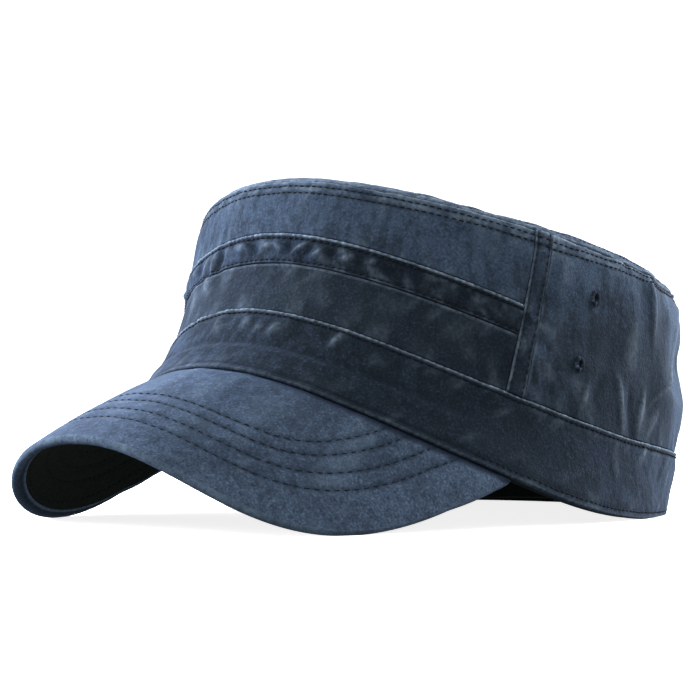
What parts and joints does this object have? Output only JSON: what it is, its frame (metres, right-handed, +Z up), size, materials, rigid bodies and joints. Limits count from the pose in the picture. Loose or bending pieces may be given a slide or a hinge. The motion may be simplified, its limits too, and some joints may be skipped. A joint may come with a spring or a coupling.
{
  "type": "army cap",
  "caption": "Washed cotton army cap with a low flat-topped crown, felled seams, a wide hat band, vent eyelets and a short arched brim, standing on its rim.",
  "frame": {"origin": "middle of the cap's bounding box, on the plane that the cap stands on", "axes": "+Z up, -Y towards the front edge of the brim, +X towards the wearer's left"},
  "size_m": [0.1802, 0.2642, 0.116],
  "materials": {
    "crown_twill": "washed dark blue cotton twill, worn lighter in patches",
    "seam_twill": "washed cotton twill, lighter along the folded edges",
    "band_twill": "washed dark blue cotton twill, puckered at the stitching",
    "brim_twill": "washed blue-grey cotton twill over a stiff board, worn edge",
    "dark_lining": "near-black cotton, matt",
    "thread": "dark sewing thread"
  },
  "bodies": {
    "root": {"crown_lid": "crown_twill", "front_panel_upper": "crown_twill", "front_felled_strip": "seam_twill", "front_panel_lower": "crown_twill", "rear_panel": "crown_twill", "side_seam_left": "seam_twill", "side_seam_right": "seam_twill", "hat_band": "band_twill", "sweatband": "dark_lining", "brim_upper": "brim_twill", "brim_under": "dark_lining", "eyelet_left_upper": "thread", "eyelet_left_lower": "thread", "eyelet_right_upper": "thread", "eyelet_right_lower": "thread"}
  },
  "joints": []
}
